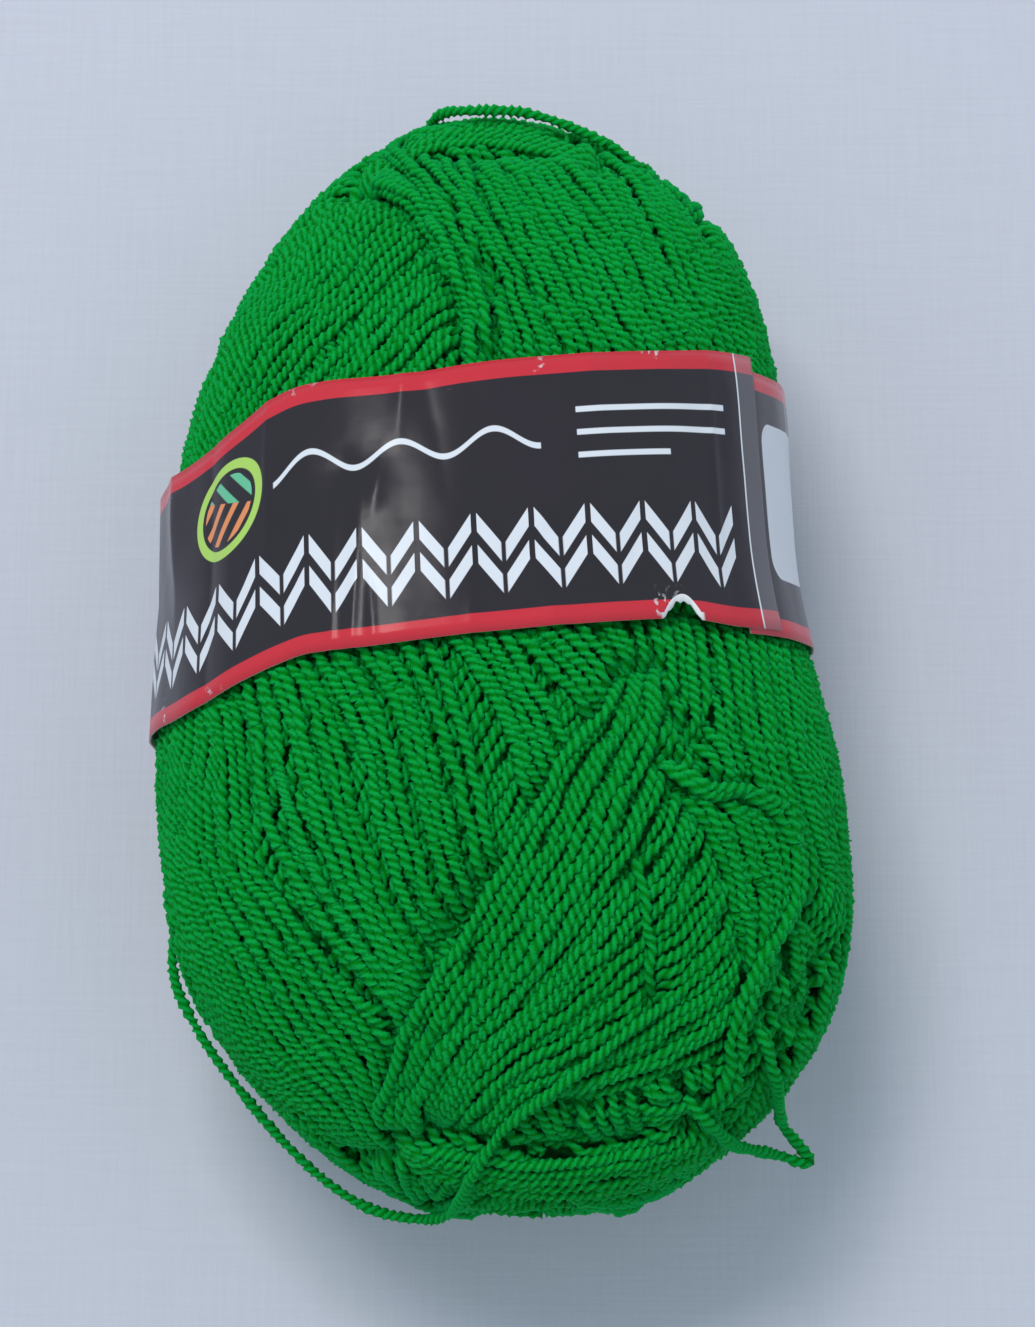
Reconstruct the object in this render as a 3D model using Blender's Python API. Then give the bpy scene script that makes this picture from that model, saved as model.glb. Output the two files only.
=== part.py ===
"""Skein of acrylic yarn with a paper belly band, lying on its side.

Metres, +Z up. The skein's long axis runs along Y, and its fuller end is at -Y. The origin is on the
surface that it lies on, under the middle of its box. The tables below are in millimetres, in a frame of
their own that SHIFT moves to that origin.
"""
import math

import bpy
import numpy as np

MM = 0.001
SHIFT = (0.4, 1.7, 0.0)

# Wound body. Latitude runs from the hollow of the fuller end (0) to the hollow of the narrow end (180).
# Height up and height down are measured from the ring's own centre.
# latitude, y, half width, height up, height down, centre x, centre z
BODY_ROWS = (
    (0.0, -76.0, 0.0, 0.0, 0.0, 4.5, 45.5),
    (7.0, -78.8, 5.5, 5.0, 4.8, 4.5, 45.0),
    (14.0, -81.9, 9.6, 9.4, 9.0, 4.5, 44.2),
    (22.0, -79.8, 17.0, 16.0, 15.6, 4.6, 43.2),
    (30.0, -74.5, 26.1, 23.8, 23.6, 3.6, 42.4),
    (40.0, -65.2, 36.6, 32.4, 32.0, 3.1, 41.4),
    (50.0, -55.0, 43.7, 38.6, 39.4, 2.4, 40.6),
    (60.0, -44.0, 47.6, 42.2, 42.4, 1.6, 40.2),
    (70.0, -31.0, 48.8, 43.4, 42.6, 0.5, 40.0),
    (80.0, -16.5, 48.4, 43.0, 41.8, -0.8, 40.0),
    (87.0, -6.5, 46.9, 42.4, 40.6, -1.8, 39.8),
    (96.0, 6.0, 45.1, 41.4, 40.0, -2.8, 39.4),
    (106.0, 20.0, 44.2, 40.4, 39.6, -3.0, 39.0),
    (118.0, 35.5, 42.4, 38.6, 39.2, -1.9, 38.2),
    (130.0, 50.0, 38.1, 34.4, 37.0, -0.3, 37.0),
    (142.0, 61.8, 31.8, 28.4, 30.2, 0.6, 35.8),
    (154.0, 71.2, 22.4, 20.0, 21.4, -0.8, 34.8),
    (164.0, 77.4, 12.0, 11.6, 12.4, -2.2, 34.4),
    (171.0, 78.8, 6.4, 6.2, 6.6, -2.6, 34.2),
    (180.0, 75.6, 0.0, 0.0, 0.0, -2.6, 34.0),
)
SECTION_POWER = 2.25  # 2 is an ellipse, more is squarer
BODY_RINGS = 46
BODY_SIDES = 70

# Main twists: bands of turns that run from end to end round the body, as raised ridges. A band is the
# zone of the unit sphere, from which the body is stretched, that lies about a plane.
TWIST_BANDS = 11
TWIST_TILT = 24.0  # degrees between a band and the long axis
TWIST_HALF_WIDTH = 0.13
TWIST_HEIGHT = 1.5
TWIST_SINK = 0.8  # the furrows between the bands lie this far under the rows above
TWIST_END = 12.0  # degrees of latitude about each end with no bands
TWIST_FADE = 16.0  # degrees over which the bands rise from there
TWIST_STEP = 68.7  # degrees about the long axis from one band to the next
# Last bands laid, on the upper side: angle about the axis, tilt, offset of the plane, half width, height
TOP_TWISTS = (
    (8.0, 31.0, 0.02, 0.2, 2.2),
    (-30.0, -27.0, 0.0, 0.15, 1.5),
    (52.0, -20.0, 0.0, 0.14, 1.4),
    (-62.0, 17.0, 0.0, 0.12, 1.3),
)

# Belly band. The two rows are its edges: the lower one pinches the body, the upper one stands off.
# y at the middle, skew in degrees, half width, height up, height down, centre x, centre z
LABEL_LOWER = (-7.2, 9.0, 45.6, 42.9, 38.4, -2.7, 40.4)
LABEL_UPPER = (30.0, 12.8, 44.6, 40.2, 37.2, -4.6, 39.2)
# How far each edge strays along Y. It is dragged up at a crease left of the middle and slips down at the
# overlap.
# angle from straight up, shift of the lower edge, shift of the upper edge
LABEL_STRAY = (
    (-180.0, 0.0, 0.0),
    (-100.0, 0.0, 0.0),
    (-75.0, -0.8, 0.0),
    (-57.0, -1.2, 0.2),
    (-42.0, 0.5, 2.4),
    (-30.0, 1.9, 4.5),
    (-18.0, 1.0, 3.0),
    (0.0, 0.3, 1.4),
    (24.0, -0.6, -0.5),
    (44.0, -1.8, -1.3),
    (60.0, -2.9, -3.3),
    (80.0, -2.6, -2.8),
    (115.0, 0.0, 0.0),
    (180.0, 0.0, 0.0),
)
LABEL_GAP = 0.75
LABEL_THICKNESS = 1.0
LABEL_FLOOR = 0.5  # the band's underside stays this far above the surface
LABEL_AXIS = (-3.0, 0.0, 39.5)
LABEL_MARGIN = 1.0  # the yarn lies smooth this far past the band's edges
LABEL_BLEND = 5.0  # and its twists come back over this length
LABEL_SIDES = 84
LABEL_ROWS = 4
LABEL_SEAM_ANGLE = 47.0  # where the top layer of the overlap ends
LABEL_SEAM_EDGE = 0.3  # half the step's width, in degrees
LABEL_SEAM_STEP = 0.5
LABEL_SEAM_RUN = 24.0  # degrees over which the step dies away
LABEL_NOTCH_ANGLE = 33.5
LABEL_NOTCH_HALF_ANGLE = 3.4
LABEL_NOTCH_DEPTH = 2.6

# Loose strands
YARN_DIAMETER = 1.5
STRAND_GAP = 0.45
STRAND_STEP = 3.4
SURFACE_SAMPLES = (170, 240)  # along and around the body, where strands are held off it
PUSHES = 3
# Each part of a route gives x and y, and z where the strand hangs free. None lies it on the body.
LEFT_TURN = (
    (-45.8, -47.3, 42.4),
    (-45.0, -49.7, 41.8),
    (-43.4, -53.6, 41.4),
    (-40.8, -58.5, 41.0),
    (-36.2, -64.6, 41.0),
    (-30.5, -71.2, 41.0),
    (-23.7, -77.6, 41.5),
    (-17.5, -81.2, 43.0),
    (-11.1, -82.5, 46.0),
    (-7.3, -81.8, 50.5),
    (-5.4, -79.4, 57.0),
    (-3.4, -76.0, None),
    (0.1, -71.4, None),
    (4.0, -68.0, None),
    (8.2, -65.0, None),
    (13.3, -61.2, None),
    (18.2, -57.4, None),
)
RIGHT_LOOP = (
    (35.0, -60.5, None),
    (36.3, -64.2, 59.0),
    (37.4, -67.0, 52.5),
    (39.1, -69.5, 47.0),
    (40.8, -71.3, 44.0),
    (43.0, -73.4, 41.5),
    (43.6, -74.5, 41.0),
    (42.0, -74.3, 41.5),
    (39.2, -73.6, 43.0),
    (36.6, -73.2, 46.0),
    (33.8, -72.9, 50.5),
    (30.8, -71.8, None),
    (27.3, -69.4, None),
)
TOP_TURN = (
    (-9.1, 75.8, 44.5),
    (-7.3, 76.5, 46.0),
    (-4.9, 77.1, 48.0),
    (-1.5, 77.3, 49.5),
    (2.7, 77.0, 50.0),
    (6.4, 76.1, 50.0),
    (10.3, 74.6, 49.5),
    (14.4, 72.0, 49.0),
    (17.3, 69.9, 48.5),
)

SHARP_ANGLE = 40.0  # edges sharper than this stay sharp
YARN_GREEN = (0.006, 0.17, 0.022, 1.0)
LABEL_BLACK = (0.035, 0.028, 0.045, 1.0)


def clear_scene():
    for ob in list(bpy.data.objects):
        bpy.data.objects.remove(ob, do_unlink=True)


def material(name, colour, roughness):
    mat = bpy.data.materials.new(name)
    mat.use_nodes = True
    shader = mat.node_tree.nodes["Principled BSDF"]
    shader.inputs["Base Color"].default_value = colour
    shader.inputs["Roughness"].default_value = roughness
    shader.inputs["Metallic"].default_value = 0.0
    return mat


def smooth_rows(rows, at):
    """Values of a table's columns at `at`, on a smooth curve through its rows."""
    table = np.array(rows, float)
    t = table[:, 0]
    values = table[:, 1:]
    slope = np.gradient(values, t, axis=0)
    at = np.clip(np.asarray(at, float), t[0], t[-1])
    i = np.clip(np.searchsorted(t, at, side="right") - 1, 0, len(t) - 2)
    h = t[i + 1] - t[i]
    s = (at - t[i]) / h
    s, h = s[..., None], h[..., None]
    a = (1 + 2 * s) * (1 - s) ** 2
    b = s * (1 - s) ** 2
    c = s * s * (3 - 2 * s)
    d = s * s * (s - 1)
    return a * values[i] + b * h * slope[i] + c * values[i + 1] + d * h * slope[i + 1]


def ring_point(ring, angle):
    """Point of a ring at an angle, measured from straight up towards +X."""
    width, up, down, cx, cz = (ring[..., k] for k in range(5))
    s, c = np.sin(angle), np.cos(angle)
    power = SECTION_POWER
    r = (np.abs(s) ** power + np.abs(c) ** power) ** (-1 / power)
    x = cx + width * r * s
    z = cz + np.where(c > 0, up, down) * r * c
    return x, z


def body_point(latitude, angle):
    """Body's smooth surface, in millimetres, for a latitude in degrees and an angle in radians."""
    latitude, angle = np.broadcast_arrays(np.asarray(latitude, float), np.asarray(angle, float))
    row = smooth_rows(BODY_ROWS, latitude)
    x, z = ring_point(row[..., 1:], angle)
    return np.stack([x, row[..., 0], z], axis=-1)


def body_normal(latitude, angle):
    step = 0.4
    lo = np.clip(latitude, 1.0, 179.0)
    along = body_point(lo + step, angle) - body_point(lo - step, angle)
    turn = math.radians(step)
    around = body_point(lo, angle + turn) - body_point(lo, angle - turn)
    n = np.cross(around, along)
    return n / np.linalg.norm(n, axis=-1, keepdims=True)


def latitude_at(y):
    """Latitude of the outer wall at a station along Y."""
    lat = np.linspace(15.0, 170.0, 621)
    return np.interp(y, smooth_rows(BODY_ROWS, lat)[:, 0], lat)


def twists():
    """Every band of turns as (normal of its plane, offset, half width, height)."""
    bands = []
    for k in range(TWIST_BANDS):
        tilt = TWIST_TILT if k % 2 else -TWIST_TILT
        height = TWIST_HEIGHT * (0.3 + 0.7 * ((k * 5) % 7) / 6)
        bands.append((k * TWIST_STEP, tilt, 0.0, TWIST_HALF_WIDTH, height))
    bands.extend(TOP_TWISTS)
    out = []
    for turn, tilt, offset, half, height in bands:
        a, b = math.radians(turn), math.radians(tilt)
        normal = (-math.cos(a) * math.cos(b), math.sin(b), math.sin(a) * math.cos(b))
        out.append((np.array(normal), offset, half, height))
    return out


def relief(latitude, angle):
    """Height of the main twists over the smooth body, in millimetres."""
    lat = np.radians(latitude)
    u = np.stack([np.sin(lat) * np.sin(angle), -np.cos(lat), np.sin(lat) * np.cos(angle)], axis=-1)
    high = np.zeros(u.shape[:-1])
    for normal, offset, half, height in twists():
        across = np.clip(np.abs(u @ normal - offset) / half, 0.0, 1.0)
        high = np.maximum(high, height * (1 - across ** 4))
    from_end = np.minimum(latitude, 180.0 - latitude)
    edge = np.clip((from_end - TWIST_END) / TWIST_FADE, 0.0, 1.0)
    return (high - TWIST_SINK) * edge * (1 - under_label(latitude, angle))


def label_edges(p):
    """Y of the belly band's lower and upper edge, beside points of the yarn."""
    angle = np.degrees(np.arctan2(p[..., 0] - LABEL_AXIS[0], p[..., 2] - LABEL_AXIS[2]))
    stray = smooth_rows(LABEL_STRAY, angle)
    low = LABEL_LOWER[0] + p[..., 0] * math.tan(math.radians(LABEL_LOWER[1])) + stray[..., 0]
    high = LABEL_UPPER[0] + p[..., 0] * math.tan(math.radians(LABEL_UPPER[1])) + stray[..., 1]
    return low, high


def under_label(latitude, angle):
    """1 where the belly band covers the yarn, falling to 0 just outside it."""
    p = body_point(latitude, angle)
    low, high = label_edges(p)
    past = np.maximum(low - p[..., 1], p[..., 1] - high)
    return np.clip(1 - (past - LABEL_MARGIN) / LABEL_BLEND, 0.0, 1.0)


def add_mesh(name, verts, faces, mat):
    mesh = bpy.data.meshes.new(name)
    mesh.from_pydata([tuple(float(c) * MM for c in v) for v in verts], [], faces)
    mesh.update()
    mesh.materials.append(mat)
    mesh.shade_smooth()
    mesh.set_sharp_from_angle(angle=math.radians(SHARP_ANGLE))
    ob = bpy.data.objects.new(name, mesh)
    bpy.context.scene.collection.objects.link(ob)
    return ob


def build_skein(mat):
    lat = np.linspace(0.0, 180.0, BODY_RINGS + 1)[1:-1]
    ang = np.linspace(0.0, 2 * math.pi, BODY_SIDES, endpoint=False)
    grid_lat, grid_ang = np.meshgrid(lat, ang, indexing="ij")
    points = body_point(grid_lat, grid_ang)
    points = points + body_normal(grid_lat, grid_ang) * relief(grid_lat, grid_ang)[..., None]
    floor = under_label(grid_lat, grid_ang) * (LABEL_FLOOR + LABEL_THICKNESS + LABEL_GAP)
    points[..., 2] = np.maximum(points[..., 2], floor)
    rings = len(lat)
    verts = list(points.reshape(-1, 3))
    verts.append(body_point(0.0, 0.0))
    verts.append(body_point(180.0, 0.0))
    near, far = rings * BODY_SIDES, rings * BODY_SIDES + 1
    faces = []
    for j in range(BODY_SIDES):
        k = (j + 1) % BODY_SIDES
        faces.append((near, k, j))
        last = (rings - 1) * BODY_SIDES
        faces.append((far, last + j, last + k))
        for i in range(rings - 1):
            a, b = i * BODY_SIDES, (i + 1) * BODY_SIDES
            faces.append((a + j, a + k, b + k, b + j))
    return add_mesh("skein", verts, faces, mat)


def edge_curve(row, angle):
    y_mid, skew, *ring = row
    x, z = ring_point(np.array(ring, float), angle)
    return np.stack([x, y_mid + x * math.tan(math.radians(skew)), z], axis=-1)


def clear_of_body(points, gap):
    """Moves points outwards, square to the long axis, until they clear the yarn."""
    ring = smooth_rows(BODY_ROWS, latitude_at(points[..., 1]))[..., 1:]
    width, up, down, cx, cz = (ring[..., k] for k in range(5))
    dx, dz = points[..., 0] - cx, points[..., 2] - cz
    angle = np.arctan2(dx / width, dz / np.where(dz > 0, up, down))
    bx, bz = ring_point(ring, angle)
    reach = np.hypot(bx - cx, bz - cz) + gap
    far = np.maximum(np.hypot(dx, dz), 1e-6)
    scale = np.maximum(reach / far, 1.0)
    out = points.copy()
    out[..., 0] = cx + dx * scale
    out[..., 2] = cz + dz * scale
    return out


def build_label(mat):
    angles = np.linspace(-180.0, 180.0, LABEL_SIDES, endpoint=False)
    step = [LABEL_SEAM_ANGLE - LABEL_SEAM_EDGE, LABEL_SEAM_ANGLE + LABEL_SEAM_EDGE]
    before = angles[angles < step[0] - LABEL_SEAM_EDGE]
    after = angles[angles > step[1] + LABEL_SEAM_EDGE]
    angles = np.concatenate([before, step, after])
    n = len(angles)
    ang = np.radians(angles)
    behind = LABEL_SEAM_ANGLE - angles
    lap = np.where(behind > 0, np.clip(1 - behind / LABEL_SEAM_RUN, 0.0, 1.0), 0.0)
    notch = np.clip(1 - np.abs(angles - LABEL_NOTCH_ANGLE) / LABEL_NOTCH_HALF_ANGLE, 0.0, 1.0)
    low, high = edge_curve(LABEL_LOWER, ang), edge_curve(LABEL_UPPER, ang)
    stray = smooth_rows(LABEL_STRAY, angles)
    low[:, 1] += stray[:, 0]
    high[:, 1] += stray[:, 1]
    inner, outer = [], []
    for r in range(LABEL_ROWS + 1):
        v = r / LABEL_ROWS
        row = low * (1 - v) + high * v
        if r == 0:
            row[:, 1] += notch * LABEL_NOTCH_DEPTH
        row = clear_of_body(row, LABEL_GAP)
        out = row.copy()
        way = (row - np.array(LABEL_AXIS)) * (1, 0, 1)
        way /= np.linalg.norm(way, axis=1, keepdims=True)
        out += way * (LABEL_THICKNESS + lap * LABEL_SEAM_STEP)[:, None]
        row[:, 2] = np.maximum(row[:, 2], LABEL_FLOOR + LABEL_THICKNESS)
        out[:, 2] = np.maximum(out[:, 2], LABEL_FLOOR)
        inner.append(row)
        outer.append(out)
    layers = outer + inner[::-1]
    verts = np.concatenate(layers)
    faces = []
    count = len(layers)
    for r in range(count):
        a, b = r * n, ((r + 1) % count) * n
        for j in range(n):
            k = (j + 1) % n
            faces.append((a + j, a + k, b + k, b + j))
    return add_mesh("label_band", verts, faces, mat)


def smooth_path(points, step):
    """Evenly spaced points on a smooth curve through the given points."""
    p = np.array(points, float)
    chord = np.concatenate([[0.0], np.cumsum(np.linalg.norm(np.diff(p, axis=0), axis=1) ** 0.5)])
    table = np.column_stack([chord, p])
    fine = smooth_rows(table, np.linspace(0.0, chord[-1], 40 * len(p)))
    run = np.concatenate([[0.0], np.cumsum(np.linalg.norm(np.diff(fine, axis=0), axis=1))])
    count = max(4, round(run[-1] / step)) + 1
    at = np.linspace(0.0, run[-1], count)
    return np.column_stack([np.interp(at, run, fine[:, k]) for k in range(3)])


def outside_body(path, clearance):
    """Pushes a path's points out along the body's normal until they clear it."""
    lat = np.linspace(6.0, 174.0, SURFACE_SAMPLES[0])
    ang = np.linspace(0.0, 2 * math.pi, SURFACE_SAMPLES[1], endpoint=False)
    grid_lat, grid_ang = np.meshgrid(lat, ang, indexing="ij")
    normal = body_normal(grid_lat, grid_ang)
    surface = body_point(grid_lat, grid_ang) + normal * relief(grid_lat, grid_ang)[..., None]
    surface, normal = surface.reshape(-1, 3), normal.reshape(-1, 3)
    out = []
    for p in path:
        for _ in range(PUSHES):
            i = np.argmin(np.sum((surface - p) ** 2, axis=1))
            depth = (p - surface[i]) @ normal[i]
            if depth < clearance:
                p = p + normal[i] * (clearance - depth)
        out.append(p)
    return np.array(out)


def top_of_body(x, y):
    """Height of the body's upper side over a point of the ground plan."""
    ring = smooth_rows(BODY_ROWS, latitude_at(y))[1:]
    across = min(abs((x - ring[3]) / ring[0]), 0.98)
    return ring[4] + ring[1] * (1 - across ** SECTION_POWER) ** (1 / SECTION_POWER)


def build_strand(name, route, mat):
    points = [(x, y, top_of_body(x, y) if z is None else z) for x, y, z in route]
    path = smooth_path(points, STRAND_STEP)
    path = outside_body(path, YARN_DIAMETER / 2 + STRAND_GAP)
    path = outside_body(smooth_path(path, STRAND_STEP), YARN_DIAMETER / 2 + STRAND_GAP)
    curve = bpy.data.curves.new(name, "CURVE")
    curve.dimensions = "3D"
    curve.bevel_depth = YARN_DIAMETER / 2 * MM
    curve.bevel_resolution = 2
    curve.use_fill_caps = True
    line = curve.splines.new("POLY")
    line.points.add(len(path) - 1)
    for point, p in zip(line.points, path):
        point.co = (p[0] * MM, p[1] * MM, p[2] * MM, 1.0)
    curve.materials.append(mat)
    ob = bpy.data.objects.new(name, curve)
    bpy.context.scene.collection.objects.link(ob)
    return ob


def main():
    clear_scene()
    yarn = material("acrylic_yarn", YARN_GREEN, 0.75)
    loose = material("loose_yarn", YARN_GREEN, 0.75)
    paper = material("laminated_paper", LABEL_BLACK, 0.3)
    pieces = [
        build_skein(yarn),
        build_label(paper),
        build_strand("loose_turn_left", LEFT_TURN, loose),
        build_strand("loose_loop_right", RIGHT_LOOP, loose),
        build_strand("loose_turn_top", TOP_TURN, loose),
    ]
    root = bpy.data.objects.new("skein_root", None)
    bpy.context.scene.collection.objects.link(root)
    root.location = [c * MM for c in SHIFT]
    for ob in pieces:
        ob.parent = root


main()
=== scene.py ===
"""Looks of a skein of acrylic yarn: its turns, its belly band and its loose strands, on a pale table.

The yarn's body is a stretched unit sphere, as in the part's source. A turn is a line on that sphere,
laid on the body at a height of its own. The last turn wound is laid first and keeps its place, and
each later one dips under those already there. Only what can show is built.
Lengths are in millimetres and angles in degrees until a mesh or a curve is made.
"""
import math

import bpy
import numpy as np
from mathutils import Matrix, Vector, kdtree


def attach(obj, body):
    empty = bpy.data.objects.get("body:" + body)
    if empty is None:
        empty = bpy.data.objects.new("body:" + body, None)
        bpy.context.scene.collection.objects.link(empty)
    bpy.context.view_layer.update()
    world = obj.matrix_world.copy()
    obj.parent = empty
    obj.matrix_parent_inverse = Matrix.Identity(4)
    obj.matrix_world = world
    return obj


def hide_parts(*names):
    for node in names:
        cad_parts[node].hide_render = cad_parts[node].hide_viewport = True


MM = 0.001
SHIFT = np.array((0.4, 1.7, 0.0))  # from the frame of the tables below to the model's
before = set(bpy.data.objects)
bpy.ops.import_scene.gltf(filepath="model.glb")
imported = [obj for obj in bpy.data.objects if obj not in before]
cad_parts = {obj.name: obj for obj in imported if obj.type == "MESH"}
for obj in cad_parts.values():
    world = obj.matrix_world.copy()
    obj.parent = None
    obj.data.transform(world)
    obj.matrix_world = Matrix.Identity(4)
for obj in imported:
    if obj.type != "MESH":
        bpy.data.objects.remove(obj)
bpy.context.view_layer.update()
RNG = np.random.default_rng(7)

# ---------- the body, as the part's source has it

# latitude, y, half width, height up, height down, centre x, centre z
BODY_ROWS = (
    (0, -76, 0, 0, 0, 4.5, 45.5), (7, -78.8, 5.5, 5, 4.8, 4.5, 45),
    (14, -81.9, 9.6, 9.4, 9, 4.5, 44.2), (22, -79.8, 17, 16, 15.6, 4.6, 43.2),
    (30, -74.5, 26.1, 23.8, 23.6, 3.6, 42.4), (40, -65.2, 36.6, 32.4, 32, 3.1, 41.4),
    (50, -55, 43.7, 38.6, 39.4, 2.4, 40.6), (60, -44, 47.6, 42.2, 42.4, 1.6, 40.2),
    (70, -31, 48.8, 43.4, 42.6, 0.5, 40), (80, -16.5, 48.4, 43, 41.8, -0.8, 40),
    (87, -6.5, 46.9, 42.4, 40.6, -1.8, 39.8), (96, 6, 45.1, 41.4, 40, -2.8, 39.4),
    (106, 20, 44.2, 40.4, 39.6, -3, 39), (118, 35.5, 42.4, 38.6, 39.2, -1.9, 38.2),
    (130, 50, 38.1, 34.4, 37, -0.3, 37), (142, 61.8, 31.8, 28.4, 30.2, 0.6, 35.8),
    (154, 71.2, 22.4, 20, 21.4, -0.8, 34.8), (164, 77.4, 12, 11.6, 12.4, -2.2, 34.4),
    (171, 78.8, 6.4, 6.2, 6.6, -2.6, 34.2), (180, 75.6, 0, 0, 0, -2.6, 34),
)
SECTION_POWER = 2.25  # 2 is an ellipse, more is squarer
NORMAL_STEP = 0.5  # degrees, to either side of a point

# y at the middle, skew, half width, height up, height down, centre x, centre z
LABEL_LOWER = (-7.2, 9.0, 45.6, 42.9, 38.4, -2.7, 40.4)
LABEL_UPPER = (30.0, 12.8, 44.6, 40.2, 37.2, -4.6, 39.2)
LABEL_WIDTH = 37.5
LABEL_LENGTH = 285.0  # once round, along the middle of the band
LABEL_START, LABEL_END = 49.0, 417.5  # degrees: the sheet's two ends, which overlap
LABEL_AXIS = (-3.0, 0.0, 39.5)
LABEL_HIDES = 4.0  # no strand is built further than this under the band
UNDER_LABEL = -0.95  # height of the strands under the band
BULGE = 0.5  # how fast they rise outside it
LABEL_FLOOR = 2.25  # the band and its gaps, under the yarn
LABEL_MARGIN, LABEL_BLEND = 1.0, 5.0  # how far past the edges that floor holds, and then fades
# How far its edges stray along Y: degrees along the sheet, lower edge, upper edge
LABEL_STRAY = (
    (49, -2.9, -3.4), (70, -2.8, -3.4), (110, 0, 0),
    (290, -1, 0), (303, -1.2, 0.2), (310, -0.6, 0.9),
    (318, 0.5, 2.4), (325, 1.5, 4), (330, 1.9, 4.5),
    (335, 1.6, 4.1), (342, 1, 3), (352, 0.6, 1.7),
    (360, 0.3, 1.3), (372, -0.2, 0.4), (384, -0.6, -0.5),
    (396, -1, -1.2), (405, -2, -1.2), (417.5, -2.1, -1.4),
)

# ---------- the yarn

YARN = 1.5  # diameter
SIDES = 4  # of a strand: a ridge for each of its two plies, and a groove after it
PITCH = (2.4, 3.2)  # one turn of the plies
STEP = 0.58  # between the points of a strand as it is laid
FINE = 0.375  # between its rings as a mesh
LEAST_STEPS = 6  # in a line, and points in a stretch that is built
RIDGE, GROOVE = 0.9, 0.61  # radius over a ply and between two
ROUND = 0.72  # radius where the underside's strands are plain
GIRTHS = (0.93, 1.07)  # of single strands
SWELL, BUMPS = 0.2, 0.07  # unevenness along a strand, and from point to point
TWIST_STRAY = 1.2  # radians that the plies run ahead or behind
TONES = (0.84, 1.1)  # of single strands
SINK = 0.9  # of the strands' centre lines under the body's surface
SIDEWAYS, UPWARDS = 0.8, 0.22  # how far a strand wanders
WAVES = (5.6, 10.0, 19.0, 39.0, 84.0)  # lengths of the waves along a strand
NEAR = 1.35  # strands further apart than this, sideways, don't touch
SETTLE = 0.85  # how far a crossing strand sinks, as a share of a round one's
PASSES_OVER = 2.6  # a strand lies over one that is this far below it
COVER_NEAR, COVER_OVER = 0.85, 0.675  # a point is hidden by one this near sideways, this far above
TUCK_DEPTH, TUCK_RUN = 3.2, 6.0  # how the front's strands go down into the winding at their ends
FIRST_LAID = 0.6  # share of a band's strands that are laid before the others
CORE_DEPTH = 3.9  # under the body's surface
HIDDEN_DEPTH = 4.4  # no strand is built deeper than this
FACES_DOWN = 0.2  # of a normal, from which the table limits a strand's height
NUDGE = 0.01  # sideways on the unit sphere, to measure its stretch
LEAST_STRETCH = 12.0  # taken near the poles
LINE_POINTS, ROUND_POINTS = 120, 400  # of a band's edge, and of a line right round

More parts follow.
